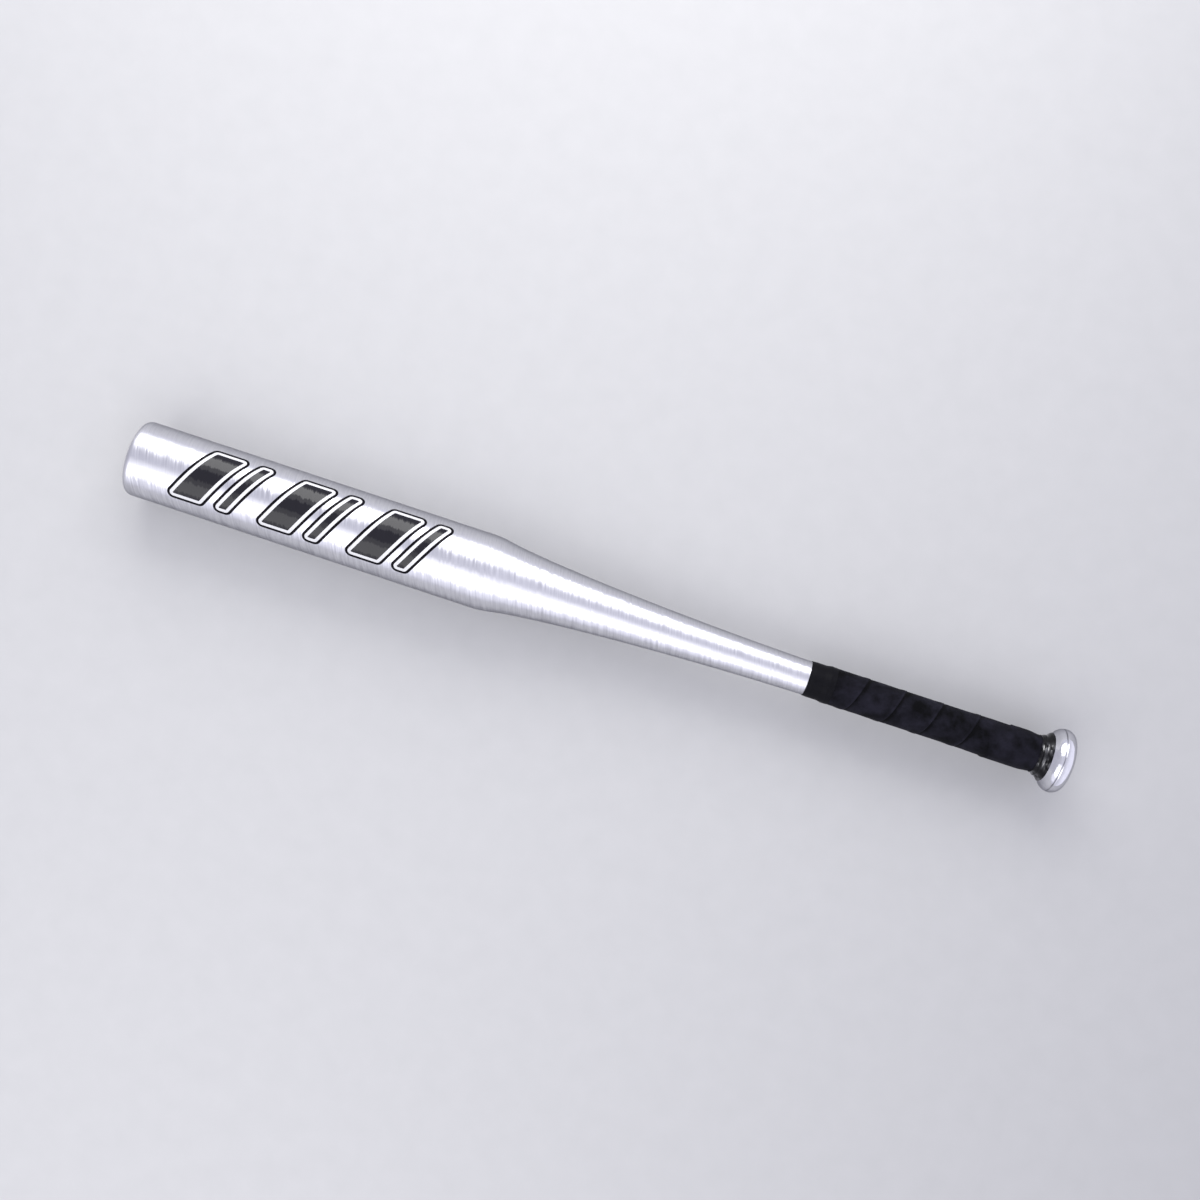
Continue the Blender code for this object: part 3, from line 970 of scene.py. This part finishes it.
def bar_outline(left, right, inset):
    """A slanted bar with rounded corners, drawn flat as (along the bat, round it) from the top."""
    low, high = PRINT_LOW * BARREL_RADIUS, PRINT_HIGH * BARREL_RADIUS
    side = PRINT_CORNER * sqrt(1 + PRINT_SLANT**2)
    slant = PRINT_SLANT_DEGREES
    corners = (
        (left + side, low, PRINT_CORNER, 180 - slant, 270),
        (right - side, low, PRINT_CORNER, -90, -slant),
        (right - side, high, -PRINT_CORNER, -slant, 90),
        (left + side, high, -PRINT_CORNER, 90, 180 - slant),
    )
    points = []
    for along, across, inwards, start, end in corners:
        core = across + inwards
        centre = (along + PRINT_SLANT * (core - low), core)
        points += arc(centre, PRINT_CORNER - inset, start, end, 8)
    return points


def flat_bars(inset):
    """Every bar at that inset, drawn flat and cut across so that it can be bent. Returns the points
    and, by their numbers, the faces, always in the same order."""
    work = bmesh.new()
    for group in range(GROUPS):
        left = KNOB_FACE_X - PRINT_END + group * (sum(BAR_WIDTHS) + BAR_GAP + GROUP_GAP)
        for width in BAR_WIDTHS:
            outline = bar_outline(left, left + width, inset)
            work.faces.new([work.verts.new((along, across, 0)) for along, across in outline])
            left += width + BAR_GAP
    for turn in np.arange(PRINT_LOW, PRINT_HIGH, CUT_STEP):
        cut(work, (0, turn * BARREL_RADIUS, 0), (0, 1, 0))
    verts = sorted(work.verts, key=lambda v: (v.co.x, v.co.y))
    numbers = {vert: count for count, vert in enumerate(verts)}
    points = [(v.co.x, v.co.y) for v in verts]
    cells = []
    for face in work.faces:
        cell = [numbers[v] for v in face.verts]
        first = cell.index(min(cell))
        cells.append(cell[first:] + cell[:first])
    work.free()
    return points, sorted(cells)


def bent(points, stand_off):
    """Flat points bent round the barrel, a little off the metal."""
    radius = BARREL_RADIUS + stand_off
    angles = [across / BARREL_RADIUS for _, across in points]
    return [
        (along, radius * sin(angle), AXIS_Z + radius * cos(angle))
        for (along, _), angle in zip(points, angles)
    ]


def film(name, inset, stand_offs, material):
    """One printed layer: every bar at that inset, as thin closed films bent round the barrel."""
    points, cells = flat_bars(inset)
    count = len(points)
    edges = [edge for cell in cells for edge in zip(cell, cell[1:] + cell[:1])]
    inner = set(edges)
    faces = [cell[::-1] for cell in cells] + [[n + count for n in cell] for cell in cells]
    faces += [(a, b, b + count, a + count) for a, b in edges if (b, a) not in inner]
    under, upper = stand_offs
    mesh = bpy.data.meshes.new(name)
    mesh.from_pydata(bent(points, under) + bent(points, upper), [], faces)
    mesh.materials.append(material)
    layer = smooth_piece(name, mesh, 30)
    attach(layer, "root")


def print_pieces():
    black = ink("black_gloss_ink", (0.0012, 0.0010, 0.0030), (0.0040, 0.0034, 0.0070), 0.10, 0.38)
    line = ink("black_line_ink", (0.0016, 0.0014, 0.0026), (0.0050, 0.0044, 0.0066), 0.30, 0.06)
    white = ink("white_gloss_ink", (0.56, 0.56, 0.56), (0.66, 0.66, 0.66), 0.30, 0.4)
    film("barrel_print_outline", 0, OUTLINE_FACES, line)
    film("barrel_print_inline", INLINE_INSET, INLINE_FACES, white)
    film("barrel_print_fill", FILL_INSET, FILL_FACES, black)


# ---------------------------------------------------------------- the studio

VIEW_TURN = radians(18.27)
CAMERA_PLACE = Vector((0.0155, 0.0060, AXIS_Z + 0.95))
CAMERA_AIM = Vector((-0.0015, 0.0060, AXIS_Z))
LENS = 43.9
SENSOR_WIDTH = 36
LIGHT_DISTANCE = 0.9
LIGHT_START_X = -0.78
LIGHT_END_X = 0.27
SOFT_WHITE = (1.0, 1.0, 0.985)
COOL_WHITE = (1.0, 1.0, 1.06)
# The soft lights: the angles round the bat's axis that each lies between, its radiance and colour.
SOFTBOXES = {
    "softbox_far": (25, 75, 1.15, SOFT_WHITE),
    "softbox_far_core": (39, 70, 3.3, SOFT_WHITE),
    "softbox_near": (-10, -66, 0.8, SOFT_WHITE),
    "softbox_near_core": (-25, -60, 1.25, SOFT_WHITE),
    "softbox_near_low": (-66, -84, 0.4, COOL_WHITE),
}
ROOM_COLOUR = (1.0, 1.0, 1.15)
# The room's brightness by how far a direction leans along +X: it is brightest behind the knob.
ROOM_STOPS = ((-0.97, 0.62), (-0.75, 0.66), (-0.50, 0.82), (0.15, 0.82), (0.60, 1.15))
# What the far floor gives back of the room's light by itself. A painted glow makes up the rest of
# the room's level.
FLOOR_OWN_LEVEL = 0.36
# Between these distances the floor's painted glow grows from none to full, so that the floor fades
# into the room.
FLOOR_FADE = (0.6, 2.3)
FLOOR_HALF_SIDE = 4.0


def room_levels(tree, lean, change):
    """The room's colour for a lean from -1 to 1, with every level changed by that much."""
    share = tree.nodes.new("ShaderNodeMapRange")
    tree.links.new(lean, share.inputs[0])
    share.inputs[1].default_value = -1
    share.inputs[2].default_value = 1
    ramp = tree.nodes.new("ShaderNodeValToRGB")
    tree.links.new(share.outputs[0], ramp.inputs[0])
    while len(ramp.color_ramp.elements) < len(ROOM_STOPS):
        ramp.color_ramp.elements.new(1)
    for stop, (x, level) in zip(ramp.color_ramp.elements, ROOM_STOPS):
        stop.position = (x + 1) / 2
        stop.color = (*((level + change) * part for part in ROOM_COLOUR), 1)
    return ramp.outputs[0]


def studio_floor():
    nodes = Nodes("studio_floor")
    speck = nodes.noise(nodes.place, scale=60, detail=3)
    heading = nodes.add("ShaderNodeVectorMath", {0: nodes.place}, operation="NORMALIZE").outputs[0]
    lean = nodes.parts(heading)["X"]
    nodes.finish(
        Base_Color=nodes.colour(speck, (0.42, 0.42, 0.42), (0.45, 0.45, 0.45)),
        Roughness=0.85,
        Specular_IOR_Level=0.1,
        # The far floor glows by itself: a painted glow at the room's level, less what it gives
        # back, brighter towards +X.
        Emission_Color=room_levels(nodes.tree, lean, -FLOOR_OWN_LEVEL),
        Emission_Strength=nodes.spread(nodes.length(nodes.place), *FLOOR_FADE, 0, 1),
    )
    lowest = AXIS_Z - BARREL_RADIUS
    half = FLOOR_HALF_SIDE
    mesh = bpy.data.meshes.new("floor")
    corners = [(x * half, y * half, lowest) for x, y in ((-1, -1), (1, -1), (1, 1), (-1, 1))]
    mesh.from_pydata(corners, [], [(0, 1, 2, 3)])
    mesh.materials.append(nodes.material)
    floor = in_scene("floor", mesh)


def softbox(name, start_degrees, end_degrees, radiance, colour):
    """A long soft light parallel to the bat, which the camera doesn't see."""
    middle = radians((start_degrees + end_degrees) / 2)
    width = 2 * LIGHT_DISTANCE * tan(radians(abs(end_degrees - start_degrees) / 2))
    length = LIGHT_END_X - LIGHT_START_X
    data = bpy.data.lights.new(name, "AREA")
    data.shape = "RECTANGLE"
    data.size = length
    data.size_y = width
    data.energy = radiance * pi * length * width
    data.color = colour
    light = in_scene(name, data)
    across, up = LIGHT_DISTANCE * sin(middle), LIGHT_DISTANCE * cos(middle)
    light.location = ((LIGHT_START_X + LIGHT_END_X) / 2, across, AXIS_Z + up)
    light.rotation_euler = (-middle, 0, 0)
    light.visible_camera = False


def room():
    world = bpy.data.worlds.new("room")
    world.use_nodes = True
    tree = world.node_tree
    parts = tree.nodes.new("ShaderNodeSeparateXYZ")
    tree.links.new(tree.nodes.new("ShaderNodeTexCoord").outputs["Generated"], parts.inputs[0])
    background = tree.nodes["Background"].inputs
    tree.links.new(room_levels(tree, parts.outputs["X"], 0), background["Color"])
    background["Strength"].default_value = 1
    bpy.context.scene.world = world


def camera():
    data = bpy.data.cameras.new("camera")
    data.lens = LENS
    data.sensor_width = SENSOR_WIDTH
    back = (CAMERA_PLACE - CAMERA_AIM).normalized()
    right = Vector((cos(VIEW_TURN), sin(VIEW_TURN), 0))
    right = (right - back * right.dot(back)).normalized()
    up = back.cross(right)
    turn = Matrix((right, up, back)).transposed().to_4x4()
    obj = in_scene("camera", data)
    obj.matrix_world = Matrix.Translation(CAMERA_PLACE) @ turn
    bpy.context.scene.camera = obj


def build():
    tube_piece()
    plug_piece()
    knob_piece()
    weld_piece()
    grip_piece()
    top_band_piece()
    ring_band_piece()
    print_pieces()
    studio_floor()
    for name, setting in SOFTBOXES.items():
        softbox(name, *setting)
    room()
    camera()
    bpy.context.scene.view_settings.view_transform = "Standard"


build()
